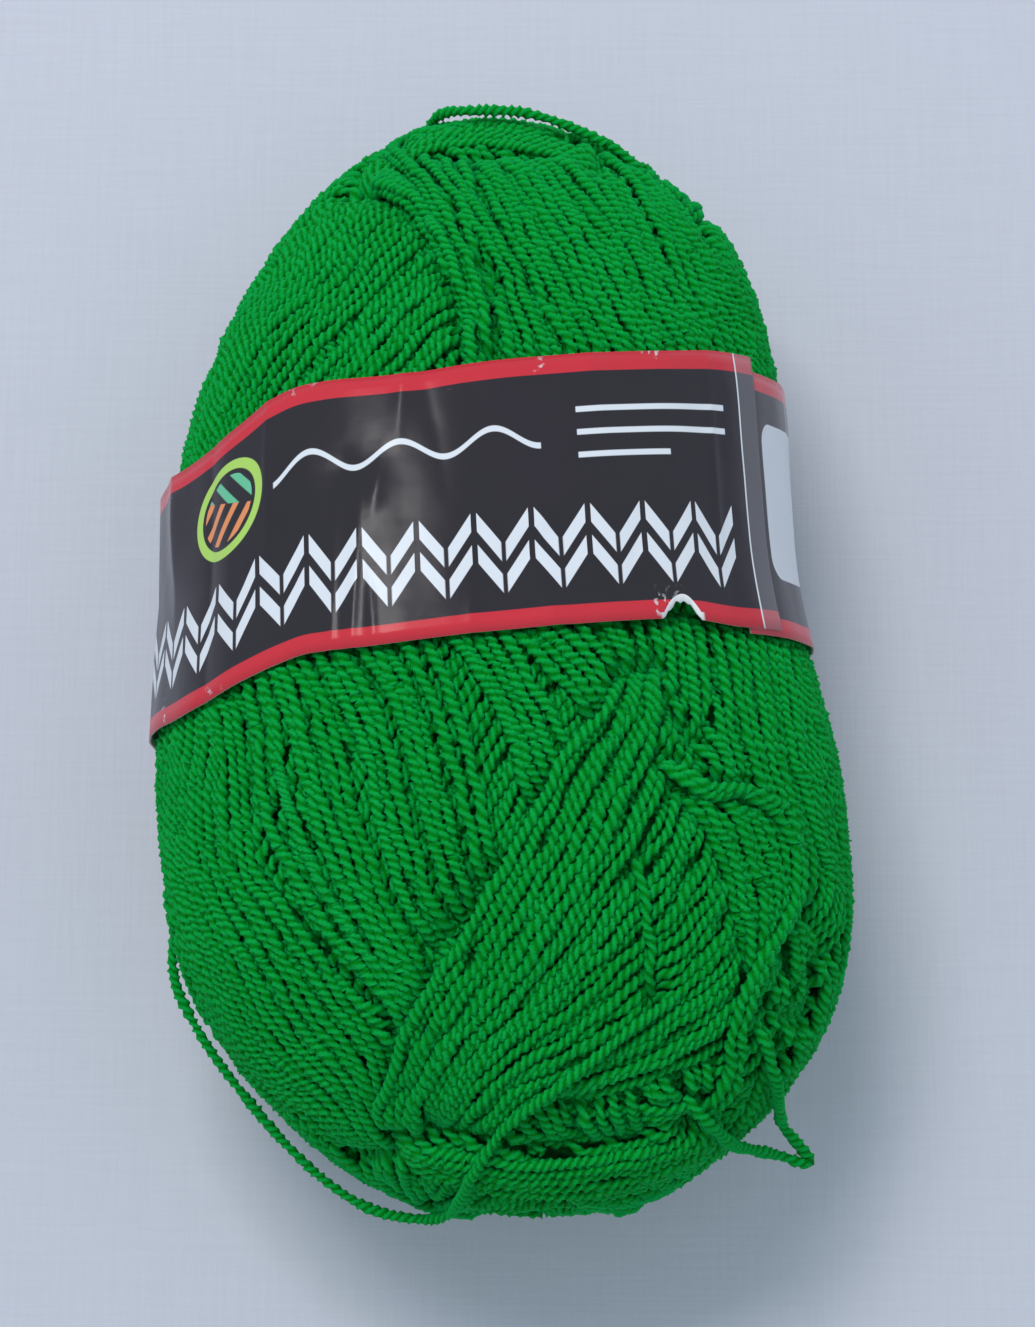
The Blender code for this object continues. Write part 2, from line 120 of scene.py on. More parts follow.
# Bands of turns that show on the upper side, the last wound first. Each lies between two edges:
# strands, girth, uneven spacing, lift, and its edges as points of latitude and angle from straight up
FRONT_BANDS = (
    (2, 1.05, 0.1, 1.4,  # ledge
     ((76, 26), (73, 32), (73, 40), (71, 49), (66, 51), (63, 51), (58, 46), (52, 43), (46, 44),
      (40, 48), (37, 48), (34, 47)),
     ((75, 25), (72, 31), (72, 39), (70, 46), (66, 49), (63, 48), (58, 44), (52, 40), (46, 40),
      (41, 43), (37, 44), (35, 42))),
    (5, 1.05, 0.25, 0.9,  # bottom wrap
     ((37, 45), (33, 45), (31, 35), (30, 18), (29, 0), (30, -14), (31, -27), (34, -36)),
     ((37, 53), (32, 60), (27, 55), (23, 33), (22, 2), (23, -22), (27, -37), (31, -42))),
    (7, 1.12, 0.3, 0.9,  # cross
     ((83, 21), (80, 18), (75, 9), (69, 3), (65, -1), (59, -7), (52, -14), (47, -20), (40, -29),
      (36, -36), (30, -43)),
     ((84, 29), (82, 27), (76, 24), (71, 19), (66, 15), (61, 9), (54, 2), (49, -5), (43, -14),
      (37, -24), (31, -32))),
    (1, 1.0, 0.1, 0.3,  # riser
     ((67, 19), (64, 20), (60, 21), (56, 22), (53, 22), (49, 24)),
     ((67, 20), (64, 21), (60, 22), (56, 24), (53, 23), (49, 25))),
    (8, 1.1, 0.35, 0.5,  # right mid
     ((75, 27), (71, 30), (67, 33), (62, 36), (55, 40), (49, 42)),
     ((72, 40), (71, 45), (68, 48), (64, 49), (61, 47), (58, 45))),
    (20, 0.97, 0.2, 0.4,  # fine
     ((81, 29), (75, 24), (70, 20), (65, 14), (60, 9), (53, 2), (48, -5), (42, -14), (37, -21),
      (33, -27)),
     ((56, 52), (51, 45), (46, 38), (42, 29), (39, 16), (37, 4), (33, -7), (31, -14))),
    (14, 0.97, 0.3, -0.5,  # fine fill
     ((69, 35), (63, 26), (58, 18), (53, 11), (47, 2)),
     ((50, 53), (45, 42), (41, 33), (38, 20), (36, 8))),
    (9, 1.0, 0.3, -0.2,  # gap fill
     ((91, 18), (87, 20), (83, 23), (77, 25), (71, 26)),
     ((91, 39), (87, 38), (82, 36), (76, 33), (72, 33))),
    (15, 1.0, 0.25, 0.3,  # right down
     ((91, 27), (87, 27), (83, 27), (78, 28), (74, 31), (71, 35)),
     ((94, 66), (89, 65), (84, 64), (77, 62), (71, 66), (64, 73), (56, 66))),
    (15, 1.05, 0.25, -2.4,  # right low
     ((65, 51), (58, 47), (51, 46), (44, 48), (38, 55)),
     ((66, 75), (58, 68), (50, 69), (44, 69), (38, 68))),
    (8, 1.14, 0.48, 0.4,  # slant a
     ((90, -37), (86, -32), (80, -26), (76, -23), (71, -22), (65, -20), (59, -18), (54, -15)),
     ((91, -12), (87, -9), (81, -5), (75, -3), (70, -2), (64, 0))),
    (5, 1.14, 0.35, 0.4,  # slant b
     ((91, -10), (87, -7), (82, -3), (78, 0), (73, 2), (69, 4)),
     ((91, 0), (87, 3), (82, 7), (77, 11), (74, 14))),
    (6, 1.08, 0.3, 0.3,  # slant c
     ((91, -1), (87, 2), (84, 7), (81, 11), (78, 15)),
     ((92, 16), (89, 19), (86, 22), (83, 25), (81, 27))),
    (8, 1.08, 0.46, 0.2,  # left in
     ((88, -48), (84, -45), (78, -42), (72, -42), (67, -40), (62, -36), (57, -32), (52, -27),
      (47, -23), (42, -23)),
     ((90, -36), (86, -32), (81, -27), (75, -24), (70, -23), (65, -21), (58, -18), (53, -16),
      (50, -14))),
    (17, 1.0, 0.25, 0.1,  # left out
     ((85, -64), (80, -70), (70, -82), (58, -78), (46, -84), (36, -68), (29, -66)),
     ((88, -51), (83, -47), (78, -43), (72, -43), (66, -42), (61, -37), (55, -32), (49, -29),
      (44, -27), (37, -31), (29, -41))),
    (8, 1.0, 0.3, -0.2,  # end short
     ((40, -5), (36, -3), (32, 2), (30, 9)),
     ((43, 23), (38, 25), (34, 29), (31, 36))),
    (20, 1.0, 0.3, -0.9,  # under slant
     ((90, -11), (86, -14), (77, -22), (67, -30), (56, -38)),
     ((91, 34), (85, 25), (74, 9), (63, -3), (49, -16))),
    (2, 1.0, 0.1, 0.9,  # stub
     ((157, -56), (147, -29), (140, -20), (133, -12), (127, -7), (119, -2), (115, 0)),
     ((159, -54), (148, -27), (141, -18), (134, -11), (127, -5), (120, 0), (115, 2))),
    (3, 1.0, 0.2, 0.3,  # top wrap
     ((147, -52), (154, -45), (157, -32), (159, -10), (158, 13), (154, 27), (148, 33)),
     ((143, -42), (147, -35), (151, -24), (153, -9), (151, 7), (148, 18), (144, 26))),
    (5, 1.05, 0.2, 0.6,  # fan a
     ((142, -54), (147, -54), (143, -36), (139, -25), (132, -15), (127, -10), (120, -5), (116, -4),
      (112, -3), (107, -2)),
     ((155, -52), (147, -32), (142, -22), (135, -12), (129, -6), (123, -1), (117, 2), (112, 4),
      (107, 6))),
    (6, 1.05, 0.3, 0.5,  # fan b
     ((154, -47), (147, -29), (142, -20), (135, -11), (129, -5), (123, 0), (117, 3), (112, 6),
      (107, 9)),
     ((150, -12), (140, -7), (132, 0), (126, 6), (120, 10), (116, 14), (112, 16), (108, 18))),
    (10, 1.05, 0.3, 0.5,  # fan c
     ((150, -12), (140, -5), (132, 1), (126, 6), (120, 11), (116, 15), (113, 17), (108, 20)),
     ((151, 9), (145, 15), (138, 20), (132, 25), (126, 29), (122, 32), (118, 36), (114, 38),
      (109, 41))),
    (4, 1.05, 0.25, 0.4,  # fan d
     ((152, 10), (145, 16), (138, 21), (132, 26), (126, 30), (122, 33), (118, 37), (114, 39),
      (109, 42)),
     ((159, 49), (149, 35), (141, 33), (133, 35), (126, 38), (121, 44), (116, 48), (115, 49),
      (110, 53))),
    (9, 1.0, 0.25, 0.2,  # upper right
     ((158, 50), (150, 40), (141, 36), (133, 38), (126, 40), (121, 46), (117, 50), (115, 52),
      (110, 56)),
     ((149, 45), (142, 48), (135, 52), (130, 66), (123, 77), (118, 75), (113, 74))),
    (14, 1.0, 0.2, 0.0,  # upper left
     ((147, -50), (138, -54), (130, -58), (125, -73), (118, -75), (112, -76), (105, -76), (100, -76)),
     ((134, -15), (128, -20), (122, -25), (117, -32), (112, -37), (108, -43), (104, -47), (99, -51))),
    (9, 1.03, 0.25, 0.0,  # upper slant
     ((133, -14), (127, -18), (122, -24), (116, -30), (112, -36), (107, -41), (102, -46)),
     ((120, -2), (117, -7), (113, -12), (111, -16), (106, -21))),
)

# The rest of the winding: bundles of turns right round from end to end, the last wound first
BUNDLES = 14
BUNDLE_TURN = 68.7  # degrees about the long axis from one bundle to the next
BUNDLE_START = 150.0
BUNDLE_TILT, BUNDLE_STRAY = 24.0, 5.0
BUNDLE_STRANDS = (8, 14)
BUNDLE_SPACING = 1.42
BUNDLE_LIFT = (0.0, 0.7)
BUNDLE_DRIFT = 2.5  # how far a bundle weaves from its plane
WIDEST = 0.6  # of a strand's distance from that plane, on the unit sphere
END_BUNDLES = 6  # less tilted ones, which close the ends
END_START, END_TURN, END_TILT = 20.0, 33.0, 9.0
END_STRANDS, END_SPACING, END_LIFT = 6, 1.5, -0.3
COVER_TURNS = 78  # single turns under all the others
COVER_STRAY, COVER_LIFT, COVER_PARTS = 9.0, -0.2, 4

# Loose strands: x, y, z of the centre line, as in the part's source
LEFT_TURN = (
    (-44.6, -38.0, 44.2), (-46.0, -42.0, 43.2), (-46.4, -45.4, 42.6), (-45.8, -49.8, 41.8),
    (-43.9, -53.9, 41.4), (-41.0, -58.7, 41.0), (-36.4, -64.7, 41.0), (-30.7, -71.3, 41.0),
    (-23.7, -77.6, 41.5), (-17.4, -81.2, 43.0), (-11.1, -82.4, 46.0), (-7.4, -82.1, 50.6),
    (-5.7, -80.6, 57.4), (-3.5, -77.0, 64.6), (0.1, -71.8, 69.4), (3.9, -68.8, 72.6),
    (8.3, -65.7, 74.9), (13.7, -61.5, 76.3), (18.4, -57.8, 76.7), (21.8, -55.4, 75.8),
    (24.6, -53.4, 73.4),
)
RIGHT_LOOP = (
    (33.4, -56.4, 66.0), (35.0, -59.2, 66.4), (36.0, -61.5, 65.0), (37.4, -65.2, 59.7),
    (38.2, -67.7, 52.8), (39.1, -69.5, 47.0), (40.8, -71.3, 44.0), (42.7, -73.3, 41.7),
    (43.3, -74.4, 41.2), (41.8, -74.4, 41.5), (39.2, -73.6, 43.0), (36.6, -73.2, 46.0),
    (33.8, -72.9, 50.4), (31.7, -72.7, 54.6), (28.3, -70.6, 63.2), (26.3, -68.8, 65.6),
    (24.6, -66.8, 66.2),
)
TOP_TURN = (
    (-10.6, 75.4, 38.0), (-10.7, 77.2, 41.6), (-9.6, 78.2, 44.8), (-7.6, 78.2, 46.8),
    (-4.9, 77.8, 48.3), (-1.5, 77.4, 49.5), (2.7, 77.0, 50.0), (6.4, 76.1, 50.0),
    (10.4, 74.7, 49.6), (14.6, 72.8, 49.3), (17.6, 71.0, 49.0), (20.2, 68.6, 48.0),
    (21.8, 66.4, 46.4),
)


def smooth_rows(rows, at):
    """Values of a table's columns at `at`, on a smooth curve through its rows."""
    table = np.array(rows, float)
    t = table[:, 0]
    values = table[:, 1:]
    slope = np.gradient(values, t, axis=0)
    at = np.clip(np.asarray(at, float), t[0], t[-1])
    i = np.clip(np.searchsorted(t, at, side="right") - 1, 0, len(t) - 2)
    h = t[i + 1] - t[i]
    s = (at - t[i]) / h
    s, h = s[..., None], h[..., None]
    a = (1 + 2 * s) * (1 - s) ** 2
    b = s * (1 - s) ** 2
    c = s * s * (3 - 2 * s)
    d = s * s * (s - 1)
    return a * values[i] + b * h * slope[i] + c * values[i + 1] + d * h * slope[i + 1]


def ring_point(ring, angle):
    """Point of a ring at an angle, measured from straight up towards +X."""
    width, up, down, cx, cz = (ring[..., k] for k in range(5))
    s, c = np.sin(angle), np.cos(angle)
    power = SECTION_POWER
    r = (np.abs(s) ** power + np.abs(c) ** power) ** (-1 / power)
    x = cx + width * r * s
    z = cz + np.where(c > 0, up, down) * r * c
    return x, z


def body_point(latitude, angle):
    row = smooth_rows(BODY_ROWS, latitude)
    x, z = ring_point(row[..., 1:], angle)
    return np.stack([x, row[..., 0], z], axis=-1)


def body_normal(latitude, angle):
    lat = np.clip(latitude, 1.0, 179.0)
    along = body_point(lat + NORMAL_STEP, angle) - body_point(lat - NORMAL_STEP, angle)
    turn = math.radians(NORMAL_STEP)
    around = body_point(lat, angle + turn) - body_point(lat, angle - turn)
    return normalised(np.cross(around, along))


def normalised(v):
    return v / np.maximum(np.linalg.norm(v, axis=-1, keepdims=True), 1e-9)


def sphere_point(latitude, angle):
    lat, ang = np.radians(latitude), np.radians(angle)
    return np.stack([np.sin(lat) * np.sin(ang), -np.cos(lat), np.sin(lat) * np.cos(ang)], axis=-1)


def latitude_angle(u):
    """Latitude in degrees and angle in radians of points of the unit sphere."""
    latitude = np.degrees(np.arccos(np.clip(-u[..., 1], -1, 1)))
    return latitude, np.arctan2(u[..., 0], u[..., 2])


def on_body(u):
    return body_point(*latitude_angle(u))


def past_label(p):
    """How far points lie outside the belly band's edges, less than 0 under it."""
    angle = np.degrees(np.arctan2(p[..., 0] - LABEL_AXIS[0], p[..., 2] - LABEL_AXIS[2]))
    stray = smooth_rows(LABEL_STRAY, np.where(angle < LABEL_END - 360.0, angle + 360.0, angle))
    low = LABEL_LOWER[0] + p[..., 0] * math.tan(math.radians(LABEL_LOWER[1])) + stray[..., 0]
    high = LABEL_UPPER[0] + p[..., 0] * math.tan(math.radians(LABEL_UPPER[1])) + stray[..., 1]
    return np.maximum(low - p[..., 1], p[..., 1] - high)


def top_height(p, normal):
    """Greatest height of a strand's centre over the body, below the band and above the table."""
    past = past_label(p)
    cap = UNDER_LABEL + BULGE * np.maximum(past, 0.0)
    floor = LABEL_FLOOR * np.clip(1 - (past - LABEL_MARGIN) / LABEL_BLEND, 0.0, 1.0)
    down = -normal[..., 2]
    rest = (p[..., 2] - floor - YARN / 2) / np.maximum(down, FACES_DOWN)
    return np.where(down > FACES_DOWN, np.minimum(cap, rest), cap)


# ---------- lines on the sphere

def travelled(points, power=1.0):
    """Distance run along a line at each of its points, by steps raised to a power."""
    steps = np.linalg.norm(np.diff(points, axis=0), axis=1) ** power
    return np.concatenate([[0.0], np.cumsum(steps)])


def stations(run, step):
    """Evenly spaced places along a run, about a step apart."""
    return np.linspace(0.0, run[-1], max(LEAST_STEPS, round(run[-1] / step)) + 1)


def resampled(points, run, at):
    """Points given along a run, taken again at other places on it."""
    return np.column_stack([np.interp(at, run, points[:, k]) for k in range(3)])


def smooth_line(points, count):
    """Points on a smooth curve through the given ones."""
    p = np.array(points, float)
    chord = travelled(p, 0.5)
    return smooth_rows(np.column_stack([chord, p]), np.linspace(0.0, chord[-1], count))


def wander(run, size, periods=WAVES):
    """A slow random wave along a strand."""
    wave = np.zeros_like(run)
    for period in periods:
        wave += np.sin(2 * math.pi * (run / period / RNG.uniform(0.8, 1.25) + RNG.uniform()))
    return wave * size / len(periods)


def stretch(u, side):
    """Millimetres on the body for a unit sideways on the sphere."""
    return np.linalg.norm(on_body(normalised(u + NUDGE * side)) - on_body(u), axis=1) / NUDGE


def turn_line(u):
    """Strand on the body along a line of the sphere: its points and their normals."""
    u = normalised(u)
    run = travelled(on_body(u))
    at = stations(run, STEP)
    u = normalised(resampled(u, run, at))
    side = normalised(np.cross(np.gradient(u, axis=0), u))
    reach = np.maximum(stretch(u, side), LEAST_STRETCH)
    u = normalised(u + side * (wander(at, SIDEWAYS) / reach)[:, None])
    latitude, angle = latitude_angle(u)
    return body_point(latitude, angle), body_normal(latitude, angle)


def band_lines(count, uneven, one, other):
    """Strands side by side between two edges."""
    a = smooth_line([sphere_point(*p) for p in one], LINE_POINTS)
    b = smooth_line([sphere_point(*p) for p in other], LINE_POINTS)
    lines = []
    for j in range(count):
        share = (j + 0.5 + RNG.uniform(-uneven, uneven)) / count
        lines.append(turn_line(a * (1 - share) + b * share))
    return lines


def bundle_lines(turn, tilt, strands, spacing):
    """Turns side by side round the body, about a plane tilted to its long axis."""
    a, b = math.radians(turn), math.radians(tilt)
    m = np.array([-math.cos(a) * math.cos(b), math.sin(b), math.sin(a) * math.cos(b)])
    down = np.array([0.0, 0.0, -1.0])
    e1 = normalised(down - m * (down @ m))
    e2 = np.cross(m, e1)
    t = np.linspace(0.0, 2 * math.pi, ROUND_POINTS)[:, None]
    middle = e1 * np.cos(t) + e2 * np.sin(t)
    reach = stretch(middle, m)
    drift = BUNDLE_DRIFT * np.sin(t[:, 0] * 2 + RNG.uniform(0, 6))
    lines = []
    for j in range(strands):
        offset = (j - (strands - 1) / 2 + RNG.uniform(-0.2, 0.2)) * spacing
        c = np.clip((offset + drift) / reach, -WIDEST, WIDEST)[:, None]
        lines.append(turn_line(middle * np.sqrt(1 - c * c) + m * c))
    return lines


# ---------- laying the turns

class Pile:
    """What has been laid: where each point of a strand is on the body, and its height there."""

    def __init__(self):
        self.base = []
        self.height = []
        self.tree = None

    def add(self, base, height):
        self.base.extend(map(tuple, base))
        self.height.extend(map(float, height))

    def sort(self):
        self.tree = kdtree.KDTree(len(self.base))
        for i, p in enumerate(self.base):
            self.tree.insert(p, i)
        self.tree.balance()

    def limit(self, p, height):
        """Height that a strand at p may have under what is laid there."""
        low = height
        for _, i, away in self.tree.find_range(p, NEAR):
            over = self.height[i]
            if over > height - PASSES_OVER:
                low = min(low, over - SETTLE * math.sqrt(max(NEAR * NEAR - away * away, 0.0)))
        return low

    def covers(self, p, height):
        """Whether something laid near p lies well above a height."""
        near = self.tree.find_range(p, COVER_NEAR)
        return any(self.height[i] > height + COVER_OVER for _, i, _ in near)


def spread(values, reach, pick):
    """Each value replaced by what `pick` takes of it and its neighbours on either side."""
    out = values.copy()
    for k in range(1, reach + 1):
        out[k:] = pick(out[k:], values[:-k])
        out[:-k] = pick(out[:-k], values[k:])
    return out


def soften(h, passes):
    for _ in range(passes):
        wide = np.concatenate([h[:1], h, h[-1:]])
        h = (wide[:-2] + 2 * wide[1:-1] + wide[2:]) / 4
    return h


def settle(line, lift, pile, tuck):
    """Heights along a strand, and which of its points show."""
    p, n = line
    cap = top_height(p, n)
    run = np.arange(len(p)) * STEP
    height = np.minimum(lift - SINK + wander(run, UPWARDS), cap)
    if tuck:
        end = np.minimum(run, run[-1] - run)
        height = height - TUCK_DEPTH * np.clip(1 - end / TUCK_RUN, 0.0, 1.0) ** 2
    if pile.tree:
        height = np.array([pile.limit(q, h) for q, h in zip(p, height)])
    height = soften(spread(height, 1, np.minimum), 4)
    side = normalised(np.cross(np.gradient(p, axis=0), n)) * (0.5 * YARN)
    shows = (past_label(p) > -LABEL_HIDES) & (height > np.minimum(cap, 0.0) - HIDDEN_DEPTH)
    if pile.tree:
        for i in np.flatnonzero(shows):
            if all(pile.covers(q, height[i]) for q in (p[i], p[i] + side[i], p[i] - side[i])):
                shows[i] = False
    return height, spread(shows, 2, np.logical_or)


def runs(mask, least):
    """Start and end of each stretch of a mask that is long enough."""
    edge = np.flatnonzero(np.diff(np.concatenate([[0], mask.astype(int), [0]])))
    return [(a, b) for a, b in zip(edge[::2], edge[1::2]) if b - a >= least]


def lay(lines, lift, pile, strands, tuck=False, girth=1.0):
    """Lays strands side by side: some first, then the others, which dip where they are squeezed."""
    first = RNG.random(len(lines)) < FIRST_LAID
    for group in (True, False):
        laid = []
        for line, turn in zip(lines, first):
            if turn != group:
                continue
            height, shows = settle(line, lift, pile, tuck)
            for a, b in runs(shows, LEAST_STEPS):
                laid.append((line[0][a:b], line[1][a:b], height[a:b], girth))
        for p, _, h, _ in laid:
            pile.add(p, h)
        if laid:
            pile.sort()
        strands.extend(laid)


def by_turns(k, tilt):
    """A tilt to one side and the other in turn."""
    return tilt if k % 2 else -tilt


def wind(pile):
    """Every stretch of strand that can show: points, normals, heights and girth."""
    strands = []
    for count, girth, uneven, lift, one, other in FRONT_BANDS:
        lay(band_lines(count, uneven, one, other), lift, pile, strands, tuck=True, girth=girth)
    for k in range(BUNDLES):
        tilt = by_turns(k, BUNDLE_TILT) + RNG.uniform(-BUNDLE_STRAY, BUNDLE_STRAY)
        count = int(RNG.integers(*BUNDLE_STRANDS))
        lines = bundle_lines(BUNDLE_START + k * BUNDLE_TURN, tilt, count, BUNDLE_SPACING)
        lay(lines, RNG.uniform(*BUNDLE_LIFT), pile, strands)
    for k in range(END_BUNDLES):
        tilt = by_turns(k, END_TILT)
        lines = bundle_lines(END_START + k * END_TURN, tilt, END_STRANDS, END_SPACING)
        lay(lines, END_LIFT, pile, strands)
    for part in np.array_split(RNG.permutation(COVER_TURNS), COVER_PARTS):
        lines = []
        for k in part:
            tilt = by_turns(k, BUNDLE_TILT) + RNG.uniform(-COVER_STRAY, COVER_STRAY)
            lines.extend(bundle_lines(k * 360.0 / COVER_TURNS, tilt, 1, END_SPACING))
        lay(lines, COVER_LIFT, pile, strands)
    return strands


# ---------- strands as meshes

BAKE_MAP = "OFBake"  # map through which the materials' pictures can be baked
PIECE_LIMIT = 180_000  # triangles
UNDERSIDE = -0.93  # of a normal's height: strands below it are plain
PLAIN_PLY_SHADE = 0.7  # their painted shade, between groove and ridge
LEAST_RINGS = 3  # of a piece of strand
THINNED_RINGS = 6  # a plain piece with more than these keeps every second one
CORE_RINGS, CORE_SIDES = 60, 90


def ring_frames(p, n):
    """Two directions square to a strand, the second one outwards."""
    tangent = normalised(np.gradient(p, axis=0))
    side = normalised(np.cross(tangent, n))
    return side, np.cross(side, tangent)


def tube_quads(rings, sides):
    """Faces between rings of points that follow one another."""
    i = np.arange(rings - 1)[:, None] * sides
    k = np.arange(sides)
    a, b = i + k, i + (k + 1) % sides
    return np.stack([a, b, b + sides, a + sides], axis=-1).reshape(-1, 4)


def end_caps(count, at=0, sides=SIDES):
    """Both ends of a tube that starts at vertex `at` and has so many vertices."""
    return [list(range(at + sides - 1, at - 1, -1)), list(range(at + count - sides, at + count))]


def strand_mesh(p, n, girth, plain):
    """Vertices and faces of one strand, and where they lie between groove (0) and ridge (1), for the
    painted shade in its grooves and the painted highlight on its ridges.
    """
    side, up = ring_frames(p, n)
    run = np.arange(len(p)) * FINE
    over_ply = np.arange(SIDES) % 2 == 0
    spin = RNG.uniform(0, 6) + wander(run, TWIST_STRAY) - 2 * math.pi * run / RNG.uniform(*PITCH)
    theta = 2 * math.pi * np.arange(SIDES) / SIDES + np.reshape(spin * (not plain), (-1, 1))
    radius = np.full(SIDES, ROUND) if plain else np.where(over_ply, RIDGE, GROOVE)
    ring = side[:, None] * np.sin(theta)[..., None] + up[:, None] * np.cos(theta)[..., None]
    swell = girth * RNG.uniform(*GIRTHS) * (1 + wander(run, SWELL, WAVES[:3]))[:, None]
    uneven = swell * (1 + RNG.normal(0.0, BUMPS, (len(p), SIDES)))
    verts = (p[:, None] + ring * (radius * uneven)[..., None]).reshape(-1, 3)
    # painted shade for the material: 0 in the grooves, 1 on the ridges, a middle value on plain strands
    ply_shade = np.broadcast_to(PLAIN_PLY_SHADE if plain else over_ply * 1.0, (len(p), SIDES))
    return verts, tube_quads(len(p), SIDES), ply_shade.reshape(-1)


def rings_map(rings, caps):
    """Places on the bake map: stretches between rings in rows, and all caps in one spare cell."""
    rows = math.ceil(math.sqrt((rings + 1) / SIDES))
    columns = math.ceil((rings + 1) / rows)
    i, k = np.divmod(np.arange(rings * SIDES)[:, None], SIDES)
    u = i % columns + np.array((0, 0, 1, 1))
    v = i // columns + (k + np.array((0, 1, 1, 0))) / SIDES
    cap_u = np.tile(columns - 1 + np.array((0.2, 0.8, 0.8, 0.2)), caps)
    cap_v = np.tile(rows - 1 + np.array((0.3, 0.3, 0.7, 0.7)), caps)
    all_u = np.concatenate([u.reshape(-1), cap_u]) / columns
    all_v = np.concatenate([v.reshape(-1), cap_v]) / rows
    return np.stack((all_u, all_v), axis=-1)


def add_object(name, data):
    ob = bpy.data.objects.new(name, data)
    bpy.context.scene.collection.objects.link(ob)
    return ob


def add_map(mesh, name, places):
    layer = mesh.uv_layers.new(name=name)
    layer.data.foreach_set("uv", places.astype(np.float32).reshape(-1))


def add_values(mesh, name, values):
    """Gives each point of a mesh a number for its material."""
    layer = mesh.attributes.new(name, "FLOAT", "POINT")
    layer.data.foreach_set("value", values.astype(np.float32))


def make_mesh(name, verts, quads, caps, places=None):
    """Mesh object from arrays. Caps are polygons of any size, places the corners on the bake map."""
    loops = np.concatenate([quads.reshape(-1), *caps]).astype(np.int32)
    sizes = np.array([4] * len(quads) + [len(c) for c in caps])
    starts = np.concatenate([[0], np.cumsum(sizes)[:-1]]).astype(np.int32)
    mesh = bpy.data.meshes.new(name)
    mesh.vertices.add(len(verts))
    mesh.vertices.foreach_set("co", ((verts + SHIFT) * MM).astype(np.float32).reshape(-1))
    mesh.loops.add(len(loops))
    mesh.loops.foreach_set("vertex_index", loops)
    mesh.polygons.add(len(sizes))
    mesh.polygons.foreach_set("loop_start", starts)
    mesh.update(calc_edges=True)
    if places is not None:
        add_map(mesh, BAKE_MAP, places)
    mesh.validate()
    mesh.shade_smooth()
    return add_object(name, mesh)


def strands_object(name, parts):
    """One mesh of many strands: each is its vertices, faces, painted ply shade and tone."""
    verts, quads, ply_shades, tones, caps, at = [], [], [], [], [], 0
    for v, q, ply_shade, tone in parts:
        verts.append(v)
        quads.append(q + at)
        ply_shades.append(ply_shade)
        tones.append(np.full(len(v), tone))
        caps.extend(end_caps(len(v), at))
        at += len(v)
    quads = np.concatenate(quads)
    places = rings_map(len(quads) // SIDES, len(caps))
    ob = make_mesh(name, np.concatenate(verts), quads, caps, places)
    add_values(ob.data, "ply_shade", np.concatenate(ply_shades))
    add_values(ob.data, "tone", np.concatenate(tones))
    return ob


def finer(points):
    """Points of a strand, set as far apart as its rings."""
    run = np.arange(len(points)) * STEP
    return resampled(points, run, stations(run, FINE))


def build_turns(strands):
    """Strands as a few meshes."""
    groups, triangles = [[]], 0
    for base, normal, height, girth in strands:
        p = base + normal * height[:, None]
        p[:, 2] = np.maximum(p[:, 2], YARN / 2)
        p = finer(np.column_stack([soften(p[:, k], 2) for k in range(3)]))
        normal = normalised(finer(normal))
        tone = RNG.uniform(*TONES)
        under = normal[:, 2] < UNDERSIDE
        for plain in (False, True):
            for a, b in runs(under == plain, 1):
                b = min(b + 1, len(p))
                if b - a < LEAST_RINGS:
                    continue
                stride = 2 if plain and b - a > THINNED_RINGS else 1
                v, q, ply_shade = strand_mesh(p[a:b:stride], normal[a:b:stride], girth, plain)
                if triangles > PIECE_LIMIT:
                    groups.append([])
                    triangles = 0
                groups[-1].append((v, q, ply_shade, tone))
                triangles += 2 * (len(q) + SIDES)
    return [strands_object(f"yarn_turns_{i + 1}", parts) for i, parts in enumerate(groups)]


def build_core():
    """Yarn seen between the turns, deep under them; its material is painted darker than the turns, as
    shade.
    """
    around = np.radians(np.linspace(-180, 180, CORE_SIDES + 1)[:-1])
    lat, ang = np.meshgrid(np.linspace(3.0, 177.0, CORE_RINGS), around, indexing="ij")
    p, n = body_point(lat, ang), body_normal(lat, ang)
    height = np.minimum(top_height(p, n), 0.0) - CORE_DEPTH
    p = p + n * height[..., None]
    caps = end_caps(lat.size, 0, CORE_SIDES)
    return make_mesh("yarn_core", p.reshape(-1, 3), tube_quads(CORE_RINGS, CORE_SIDES), caps)


def build_cord(name, route):
    """Loose strand, plied as the others are, along its route."""
    path = smooth_line(route, ROUND_POINTS)
    run = travelled(path)
    path = resampled(path, run, stations(run, FINE))
    along = np.gradient(path, axis=0)
    across = normalised(np.cross(along, (0.3, 0.1, 1.0)))
    v, q, ply_shade = strand_mesh(path, np.cross(across, along), 1.0, False)
    ob = strands_object(name + "_yarn", [(v, q, ply_shade, 1.0)])
    path = (path + SHIFT) * MM
    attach(ob, "root")
    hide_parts(name)
    return ob


# ---------- the belly band

LABEL_RISE = 0.75  # of the sheet's middle over the yarn
LABEL_THICK = 0.28
LAP_LIFT = 0.5  # of the sheet's outer end over its inner one
LAP_START, LAP_RISE = 40, 22  # degrees before its end where the sheet begins to rise, and over which
LABEL_CLEARS = 0.7  # the table
LABEL_LIES = -0.9  # of the outward direction's height: below it the sheet lies flat
